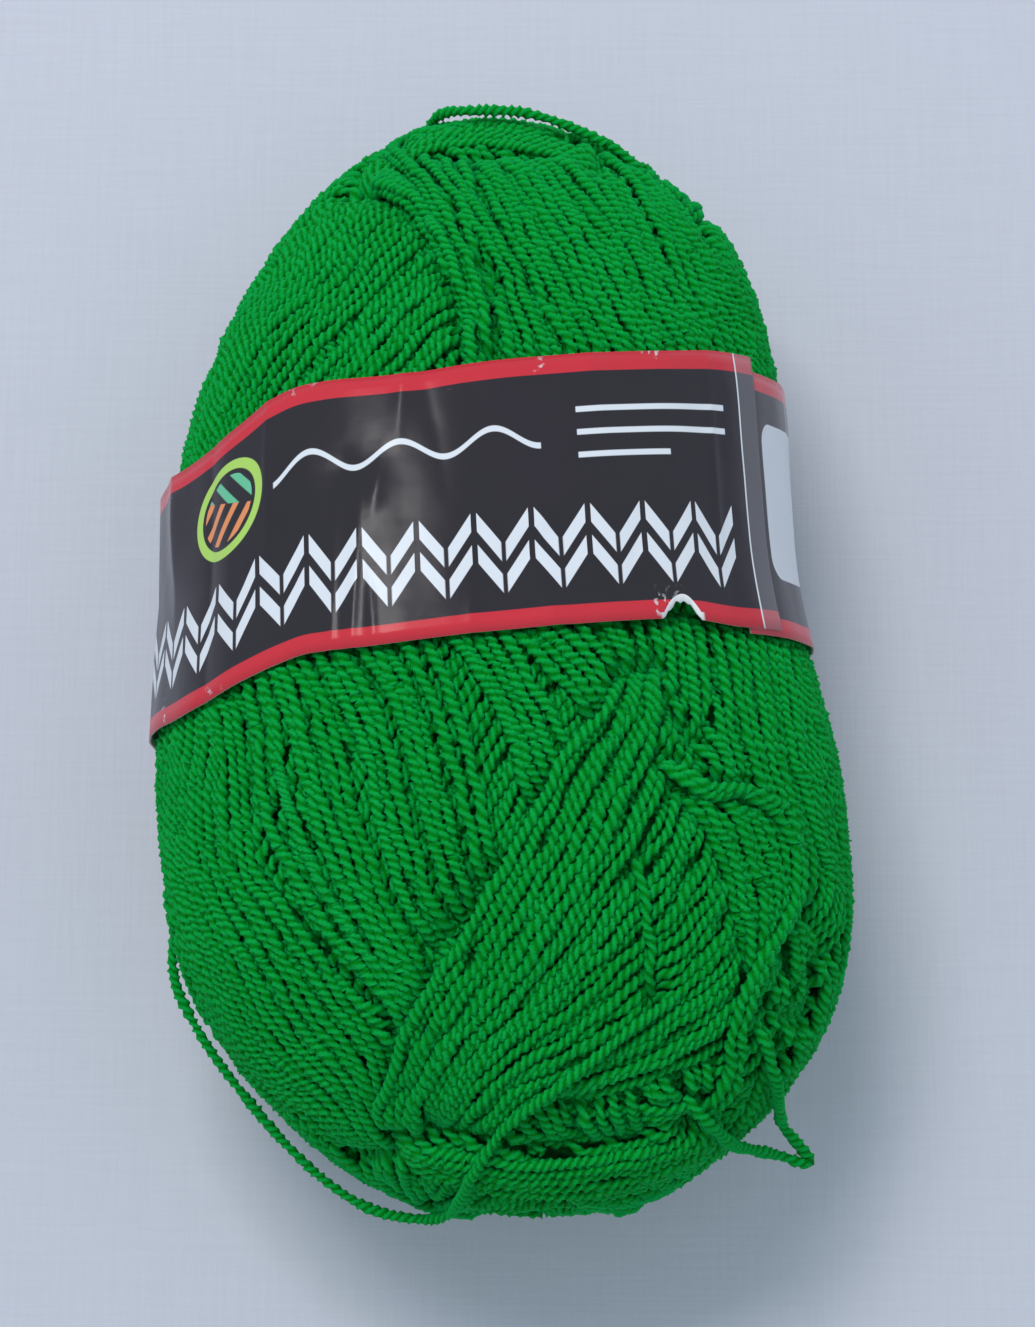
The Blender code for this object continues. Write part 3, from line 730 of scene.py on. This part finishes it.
# Creases and dents: angle, height on the band, half width in degrees, half height, lean, depth
CREASES = (
    (-62, 31, 4.5, 13, 0, 1.1), (-50, 20, 2.2, 24, 0.04, -0.35),
    (-36, 29, 1.2, 12, 0.05, 0.35), (-31, 12, 2.5, 10, 0.1, -0.3),
    (-24.5, 3, 0.9, 9, 0.06, 0.3), (-20.5, 7, 1.3, 10, 0.12, 0.45),
    (-17.5, 4, 0.8, 5, -0.05, 0.25), (-22, 25, 5, 2.6, 0.5, -0.5),
    (-16, 22, 1.6, 3, 0.3, 0.4), (-11, 36, 2.2, 6, 0.15, 0.5),
    (-6, 30, 2.5, 9, -0.2, -0.3), (-1, 2, 1.2, 3, 0, 0.25),
    (12.5, 1, 1.8, 4, -0.3, 0.45), (9, 11, 5, 3.2, 0.9, -0.6),
    (12, 15, 3, 2.6, 0.6, 0.5), (21.5, 36, 2, 7, -0.2, 0.3),
    (27, 9, 2.5, 8, 0.3, -0.25), (44, 20, 1.3, 16, 0.02, 0.3),
    (-76, 16, 2.4, 20, 0, 0.4), (75, 20, 3, 20, 0, 0.3),
    (110, 15, 3, 24, 0.1, -0.4), (150, 22, 3, 24, -0.1, 0.4),
    (-120, 18, 3, 24, 0.1, 0.4), (-100, 18, 3, 24, 0.1, -0.3),
)
LABEL_COLUMNS, LABEL_ROWS = 760, 23  # points along and across the sheet
NOTCH_ANGLE, NOTCH_HALF, NOTCH_DEPTH = 34.5, 3.4, 2.4
PRINT_SCALE = 100.0  # millimetres to a unit of the print's map


def edge_curve(row, angle):
    y_mid, skew, *ring = row
    x, z = ring_point(np.array(ring, float), angle)
    return np.stack([x, y_mid + x * math.tan(math.radians(skew)), z], axis=-1)


def clear_of_body(points, gap):
    """Moves points outwards, square to the long axis, until they clear the yarn."""
    lat = np.linspace(15.0, 170.0, 621)
    at = np.interp(points[..., 1], smooth_rows(BODY_ROWS, lat)[:, 0], lat)
    ring = smooth_rows(BODY_ROWS, at)[..., 1:]
    width, up, down, cx, cz = (ring[..., k] for k in range(5))
    dx, dz = points[..., 0] - cx, points[..., 2] - cz
    angle = np.arctan2(dx / width, dz / np.where(dz > 0, up, down))
    bx, bz = ring_point(ring, angle)
    reach = np.hypot(bx - cx, bz - cz) + gap
    scale = np.maximum(reach / np.maximum(np.hypot(dx, dz), 1e-6), 1.0)
    return np.stack([cx + dx * scale, points[..., 1], cz + dz * scale], axis=-1)


def band_map(cols, rows, rims):
    """Bake map of the belly band: its face in three strips, its back in a fourth, its rims on top."""
    c, r = np.divmod(np.arange((cols - 1) * (rows - 1))[:, None], rows - 1)
    third = math.ceil((cols - 1) / 3)
    along, up = np.array((0, 1, 1, 0)), np.array((0, 0, 1, 1))
    strip = (c // third + 0.02 + (r + up) / (rows - 1) * 0.96) / 4
    face = np.stack([(c % third + along) / third, strip], axis=-1)
    back = np.stack([(c + along) / (cols - 1), (3.02 + (r + 1 - up) / (rows - 1) * 0.9) / 4], axis=-1)
    j = np.arange(rims)[:, None]
    rim = np.stack([(j + along) / rims, 0.985 + up * 0.012 + 0.0 * j], axis=-1)
    return np.concatenate([face, back, rim]).reshape(-1, 2)


def band_relief(turn, wrapped, mm):
    """How far the sheet stands in or out at its creases, its dents and its overlap."""
    bump = np.zeros_like(mm)
    for angle, v, half, tall, lean, depth in CREASES:
        along = (wrapped - angle - lean * (mm - v)) / half
        bump += depth * np.exp(-np.abs(along) ** 1.25) * np.exp(-((mm - v) / tall) ** 2)
    bump += 0.12 * np.sin(turn / 7.0 + 2 * mm / LABEL_WIDTH) * np.sin(turn / 3.1)
    lap = np.clip((turn - LABEL_END + LAP_START) / LAP_RISE, 0.0, 1.0)
    return bump + lap * lap * (3 - 2 * lap) * LAP_LIFT


def band_surfaces(turn, share):
    """Outer and inner side of the sheet, and how far its lower edge is cut away at the notch."""
    ang = np.radians(turn)
    wrapped = (turn + 180) % 360 - 180
    low, high = edge_curve(LABEL_LOWER, ang), edge_curve(LABEL_UPPER, ang)
    stray = smooth_rows(LABEL_STRAY, turn)
    low[..., 1] += stray[..., 0]
    high[..., 1] += stray[..., 1]
    p = low * (1 - share[..., None]) + high * share[..., None]
    notch = np.clip(1 - ((wrapped - NOTCH_ANGLE) / NOTCH_HALF) ** 2, 0.0, 1.0) * (turn > 180)
    ragged = 1 + 0.12 * np.sin(turn * 9.0) + 0.08 * np.sin(turn * 23.0)
    cut = notch * NOTCH_DEPTH * ragged * np.clip(1 - share * 5, 0.0, 1.0)
    p[..., 1] += cut
    p = clear_of_body(p, LABEL_RISE)
    out = normalised((p - LABEL_AXIS) * (1, 0, 1))
    rise = band_relief(turn, wrapped, share * LABEL_WIDTH)
    outer = p + out * (rise + LABEL_THICK / 2)[..., None]
    inner = p + out * (rise - LABEL_THICK / 2)[..., None]
    for side in (outer, inner):
        side[..., 2] = np.maximum(side[..., 2], LABEL_CLEARS)
    over = np.maximum(inner[..., 2], outer[..., 2] + LABEL_THICK)
    inner[..., 2] = np.where(out[..., 2] < LABEL_LIES, over, inner[..., 2])
    return outer, inner, cut


def band_quads(cols, rows):
    """Faces of the sheet, both sides and then its rims, and how many of them are rims."""
    count = cols * rows
    i = (np.arange(cols - 1)[:, None] * rows + np.arange(rows - 1)).reshape(-1)
    face = np.stack([i, i + rows, i + rows + 1, i + 1], axis=-1)
    edges = []
    for a in range(0, (cols - 1) * rows, rows):
        edges += [(a + rows, a), (a + rows - 1, a + 2 * rows - 1)]
    for a in range(rows - 1):
        b = (cols - 1) * rows + a
        edges += [(a, a + 1), (b + 1, b)]
    rim = [(a, b, b + count, a + count) for a, b in edges]
    return np.concatenate([face, face[:, ::-1] + count, np.array(rim)]), len(rim)


def build_label():
    around = np.linspace(LABEL_START, LABEL_END, LABEL_COLUMNS)
    turn, share = np.meshgrid(around, np.linspace(0.0, 1.0, LABEL_ROWS), indexing="ij")
    outer, inner, cut = band_surfaces(turn, share)
    quads, rims = band_quads(LABEL_COLUMNS, LABEL_ROWS)
    verts = np.concatenate([outer.reshape(-1, 3), inner.reshape(-1, 3)])
    ob = make_mesh("belly_band", verts, quads, [], band_map(LABEL_COLUMNS, LABEL_ROWS, rims))
    mesh = ob.data
    corner = np.zeros(len(mesh.loops), int)
    mesh.loops.foreach_get("vertex_index", corner)
    along = (around - 360.0) * LABEL_LENGTH / 360.0
    across = (share * LABEL_WIDTH + cut).reshape(-1)
    places = np.stack([np.repeat(along, LABEL_ROWS), across], axis=-1)
    add_map(mesh, "band", np.concatenate([places, places])[corner] / PRINT_SCALE)
    add_values(mesh, "inside", np.repeat([0.0, 1.0], share.size))
    return ob


# ---------- materials

def set_inputs(node, values):
    """Sets inputs of a node, by name or number: a Wire or a socket is linked, the rest are values."""
    for slot, value in values.items():
        value = getattr(value, "socket", value)
        if isinstance(value, bpy.types.NodeSocket):
            node.id_data.links.new(value, node.inputs[slot])
        else:
            node.inputs[slot].default_value = value


class Wire:
    """A number inside a material, so that a pattern is written as plain arithmetic."""

    def __init__(self, tree, socket):
        self.tree = tree
        self.socket = socket

    def math(self, operation, *others):
        node = self.tree.nodes.new("ShaderNodeMath")
        node.operation = operation
        set_inputs(node, dict(enumerate((self, *others))))
        return Wire(self.tree, node.outputs[0])

    def __add__(self, other):
        return self.math("ADD", other)

    def __sub__(self, other):
        return self.math("SUBTRACT", other)

    def __mul__(self, other):
        return self.math("MULTIPLY", other)

    def __truediv__(self, other):
        return self.math("DIVIDE", other)

    def __rsub__(self, other):
        return (self * -1.0) + other

    def __abs__(self):
        return self.math("ABSOLUTE")

    def most(self, other):
        return self.math("MAXIMUM", other)

    def clamp(self):
        return self.most(0.0).math("MINIMUM", 1.0)

    def within(self, half, soft=0.12):
        """1 where the number's size is under half, 0 outside, with a soft edge."""
        return ((half - abs(self)) / soft + 0.5).clamp()

    def above(self, edge, soft=0.12):
        return ((self - edge) / soft + 0.5).clamp()


def new_material(name):
    mat = bpy.data.materials.new(name)
    mat.use_nodes = True
    return mat, mat.node_tree, mat.node_tree.nodes["Principled BSDF"]


def object_place(tree):
    return tree.nodes.new("ShaderNodeTexCoord").outputs["Object"]


def noise(tree, scale, detail=2.0, vector=None):
    node = tree.nodes.new("ShaderNodeTexNoise")
    vector = vector or object_place(tree)
    set_inputs(node, {"Scale": scale, "Detail": detail, "Roughness": 0.55, "Vector": vector})
    return Wire(tree, node.outputs["Fac"])


def stretched(tree, scale):
    """Object coordinates scaled by axis."""
    mapping = tree.nodes.new("ShaderNodeMapping")
    set_inputs(mapping, {"Scale": scale, "Vector": object_place(tree)})
    return mapping.outputs["Vector"]


def attribute(tree, name):
    node = tree.nodes.new("ShaderNodeAttribute")
    node.attribute_name = name
    return Wire(tree, node.outputs["Fac"])


def mixed(tree, factor, one, other):
    """Colour between two, which are sockets or plain colours."""
    node = tree.nodes.new("ShaderNodeMix")
    node.data_type = "RGBA"
    one, other = ((*c, 1.0) if isinstance(c, tuple) else c for c in (one, other))
    set_inputs(node, {0: factor, 6: one, 7: other})
    return node.outputs[2]


def bumped(tree, shader, height, distance, strength=1.0):
    node = tree.nodes.new("ShaderNodeBump")
    set_inputs(node, {"Distance": distance, "Strength": strength, "Height": height})
    set_inputs(shader, {"Normal": node.outputs["Normal"]})


def yarn_material(name):
    mat, tree, shader = new_material(name)
    ply_shade = attribute(tree, "ply_shade")
    tone = attribute(tree, "tone")
    fibre = noise(tree, 2600.0, 3.0)
    patch = noise(tree, 90.0)
    # painted shade and highlight: dark in the ply grooves, light on the ridges; the same value also
    # gives the bump
    ply_shade_and_relief = ((ply_shade + fibre * 0.3 - 0.27) / 0.5).clamp()
    factor = ply_shade_and_relief * tone * ((fibre * 0.5 + 0.72) * (patch * 0.4 + 0.8))
    set_inputs(shader, {
        # groove colour darker, ridge colour brighter and bluer: painted shade in the grooves, painted
        # highlight on the ridges
        "Base Color": mixed(tree, factor.clamp(), (0.0, 0.19, 0.005), (0.003, 0.355, 0.058)),
        "Roughness": fibre * 0.25 + 0.62,
        "Specular IOR Level": 0.06,
        "Sheen Weight": 0.06,
        "Sheen Roughness": 0.5,
        "Sheen Tint": (0.02, 0.8, 0.3, 1.0),
        "Subsurface Weight": 0.4,
        "Subsurface Radius": (0.2, 1.0, 0.35),
        "Subsurface Scale": 0.0007,
    })
    bumped(tree, shader, ply_shade_and_relief * 0.6 + fibre * 0.5, 0.0002, 0.8)
    return mat


def core_material():
    """Yarn in the depth, out of reach of the turns built one by one, painted darker than they are as
    the shade there.
    """
    mat, tree, shader = new_material("yarn_depth_painted_shade")
    wave = tree.nodes.new("ShaderNodeTexWave")
    wave.bands_direction = "DIAGONAL"
    set_inputs(wave, {"Scale": 110.0, "Distortion": 5.0, "Detail": 2.0, "Detail Scale": 1.5,
                      "Vector": object_place(tree)})
    strand = Wire(tree, wave.outputs["Fac"])
    fibre = noise(tree, 1400.0, 3.0)
    shade = (strand * 0.7 + fibre * 0.5 - 0.1).clamp()
    # painted shade: both colours darker than the turns' yarn
    colour = mixed(tree, shade, (0.0, 0.13, 0.006), (0.0008, 0.30, 0.04))
    set_inputs(shader, {"Base Color": colour, "Roughness": 0.95})
    bumped(tree, shader, shade, 0.0008)
    return mat


# The print, in millimetres: x along the band from straight up, y up from its lower edge
STITCH, STITCH_SLOPE = 7.6, 1.4
BALL_X, BALL_Y, BALL_RADIUS = -36.0, 26.4, 6.1
BALL_STROKES = 2.7  # from one stroke in the ball to the next
PLAIN_LINES = ((29.6, 26.0, 11.5), (26.4, 26.0, 11.5), (23.2, 21.0, 6.5))  # y, middle, half length
BORDER = 2.6


def knit_frieze(x, y):
    """Knit stitches along the lower half: two zigzags of thick strokes, each a leaning leaf."""
    cell = (x / STITCH).math("FRACT") - 0.5
    lean = abs(cell) * STITCH * STITCH_SLOPE
    strokes = (y - 5.9 - lean).within(1.3).most((y - 10.3 - lean).within(1.3))
    gap = abs(cell).above(0.04, 0.02) * abs(cell).math("LESS_THAN", 0.45)
    return strokes * (x + 81.0).within(119.0) * gap


def yarn_ball(x, y):
    """Ball of yarn: its ring, the strokes in its upper part and those in its lower part."""
    dx, dy = x - BALL_X, y - BALL_Y
    away = (dx * dx + dy * dy).math("SQRT")
    disc = away.math("LESS_THAN", BALL_RADIUS - 1.3)
    slants = (dx * 0.8 + dy * 0.6, dx * 0.7 - dy * 0.7)
    one, other = (((s / BALL_STROKES).math("FRACT") - 0.5).within(0.2, 0.05) * disc for s in slants)
    upper = (dy + dx * 0.5).above(1.0)
    return (away - BALL_RADIUS).within(0.65), one * upper, other * (1.0 - upper)


def thin_marks(x, y):
    """The ball's end, a wave that runs off to the right, and plain lines beyond it."""
    marks = (y - BALL_Y - (x * 0.5).math("SINE") * 1.5).within(0.42) * (x + 9.0).within(18.5)
    for height, middle, half in PLAIN_LINES:
        marks = marks.most((y - height).within(0.4) * (x - middle).within(half))
    return marks


def bare_panel(x, y):
    """Panel with round corners, past the overlap."""
    px = (abs(x - 58.0 + LABEL_LENGTH) - 7.5).most(0.0)
    py = (abs(y - 19.5) - 8.0).most(0.0)
    corner = (px * px + py * py).math("SQRT") - 3.0
    return (0.0 - corner).above(0.0)


def torn_edge(x, y, ink):
    """Paper that shows where the notch is torn."""
    nx = (x - NOTCH_ANGLE * LABEL_LENGTH / 360.0) / (NOTCH_HALF * LABEL_LENGTH / 360.0)
    edge = (1.0 - nx * nx).most(0.0) * NOTCH_DEPTH
    return (y - edge + (ink - 0.5) * 1.6).math("LESS_THAN", 0.95) * nx.within(1.15)


def scuffs(tree, from_middle):
    """Spots along the borders where the film is rubbed."""
    spots = noise(tree, 1100.0).above(0.6, 0.05) * noise(tree, 110.0).above(0.67, 0.04)
    return spots * from_middle.above(LABEL_WIDTH / 2 - 3.5, 2.5)


def band_pattern(tree, shader):
    """Prints the belly band. Gives back where its film is missing."""
    uv = tree.nodes.new("ShaderNodeUVMap")
    uv.uv_map = "band"
    split = tree.nodes.new("ShaderNodeSeparateXYZ")
    set_inputs(split, {0: uv.outputs["UV"]})
    x = Wire(tree, split.outputs[0]) * PRINT_SCALE
    y = Wire(tree, split.outputs[1]) * PRINT_SCALE
    from_middle = abs(y - LABEL_WIDTH / 2)
    ink = noise(tree, 60.0, 3.0)
    ring, upper, lower = yarn_ball(x, y)
    torn = torn_edge(x, y, ink)
    scuff = scuffs(tree, from_middle)
    inside = attribute(tree, "inside")
    colour = mixed(tree, ink, (0.010, 0.006, 0.010), (0.020, 0.012, 0.020))
    layers = (
        (knit_frieze(x, y).most(thin_marks(x, y)), (0.72, 0.74, 0.80)),
        (ring, (0.42, 0.66, 0.12)),
        (upper, (0.13, 0.52, 0.30)),
        (lower, (0.80, 0.27, 0.10)),
        (bare_panel(x, y), (0.66, 0.68, 0.73)),
        (from_middle.above(LABEL_WIDTH / 2 - BORDER), (0.60, 0.018, 0.035)),
        ((x - 43.5).within(2.3, 0.05) * 0.3, (0.30, 0.29, 0.32)),  # clear end, past the print
        ((x - 41.1).within(0.16, 0.08), (0.8, 0.82, 0.86)),  # where the print is cut off
        (torn, (0.80, 0.80, 0.82)),
        (scuff * 0.7, (0.70, 0.70, 0.73)),
        (inside, (0.62, 0.60, 0.58)),
    )
    for mask, paint in layers:
        colour = mixed(tree, mask, colour, paint)
    set_inputs(shader, {"Base Color": colour})
    return torn.most(inside).most(scuff)


def label_material():
    mat, tree, shader = new_material("laminated_paper")
    bare = band_pattern(tree, shader)
    smear = noise(tree, 45.0, 3.0)
    grain = noise(tree, 800.0)
    rough = (smear * 0.24 + 0.13 + bare * 0.4).clamp()
    set_inputs(shader, {"Roughness": rough, "Specular IOR Level": 0.5, "Coat Weight": 0.1,
                        "Coat Roughness": 0.08})
    bumped(tree, shader, smear + grain * 0.02, 0.0016, 0.35)
    return mat


def table_material():
    mat, tree, shader = new_material("table_cloth")
    warp = noise(tree, 1.0, vector=stretched(tree, (1400.0, 60.0, 1.0)))
    weft = noise(tree, 1.0, vector=stretched(tree, (60.0, 1400.0, 1.0)))
    broad = noise(tree, 6.0)
    weave = warp * 0.5 + weft * 0.5
    shade = (weave * 0.7 + broad * 0.3 - 0.1).clamp()
    colour = mixed(tree, shade, (0.545, 0.545, 0.62), (0.67, 0.67, 0.755))
    set_inputs(shader, {"Base Color": colour, "Roughness": 0.7, "Specular IOR Level": 0.25})
    bumped(tree, shader, weave, 0.0003, 0.4)
    return mat


# ---------- camera, table and light

LENS = 114.43
CAMERA_PLACE, CAMERA_TILT = (0.00275, -0.09203, 0.50627), 11.0  # metres, and degrees from straight down
TABLE_HALF = 6.0  # metres


def add_camera():
    data = bpy.data.cameras.new("camera")
    data.sensor_fit = "HORIZONTAL"
    data.sensor_width = 36.0
    data.lens = LENS
    data.clip_start = 0.01
    data.clip_end = 20.0
    ob = add_object("camera", data)
    ob.location = CAMERA_PLACE
    ob.rotation_euler = (math.radians(CAMERA_TILT), 0.0, 0.0)
    bpy.context.scene.camera = ob


def add_table():
    mesh = bpy.data.meshes.new("table_top")
    signs = ((-1, -1), (1, -1), (1, 1), (-1, 1))
    mesh.from_pydata([(x * TABLE_HALF, y * TABLE_HALF, 0) for x, y in signs], [], [(0, 1, 2, 3)])
    ob = add_object("table_top", mesh)
    mesh.materials.append(table_material())


def add_light(name, place, aim, size, power, colour):
    data = bpy.data.lights.new(name, "AREA")
    data.shape = "RECTANGLE"
    data.size, data.size_y = size
    data.energy = power
    data.color = colour
    ob = add_object(name, data)
    ob.location = place
    ob.rotation_euler = (Vector(aim) - Vector(place)).to_track_quat("-Z", "Y").to_euler()
    return ob


def add_lights():
    middle = (0.0, 0.0, 0.03)
    key = add_light("key", (-0.19, 0.33, 0.94), middle, (0.36, 0.29), 4.85, (1.0, 0.985, 0.97))
    key.visible_glossy = False
    glint = add_light("glint", (-0.36, 0.30, 0.86), middle, (0.24, 0.13), 0.55, (1.0, 0.97, 0.94))
    glint.visible_diffuse = False
    world = bpy.data.worlds.new("studio")
    bpy.context.scene.world = world
    world.use_nodes = True
    sky = world.node_tree.nodes["Background"]
    set_inputs(sky, {"Color": (0.75, 0.90, 1.0, 1.0), "Strength": 0.65})
    bpy.context.scene.view_settings.view_transform = "Standard"


# ---------- the whole

def main():
    add_camera()
    yarn = yarn_material("acrylic_yarn")
    routes = {"loose_turn_left": LEFT_TURN, "loose_loop_right": RIGHT_LOOP, "loose_turn_top": TOP_TURN}
    for name, route in routes.items():
        build_cord(name, route).data.materials.append(yarn)
    strands = wind(Pile())
    core = build_core()
    core.data.materials.append(core_material())
    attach(core, "root")
    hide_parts("skein")
    for piece in build_turns(strands):
        piece.data.materials.append(yarn)
        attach(piece, "root")
    band = build_label()
    band.data.materials.append(label_material())
    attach(band, "root")
    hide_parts("label_band")
    add_table()
    add_lights()


main()
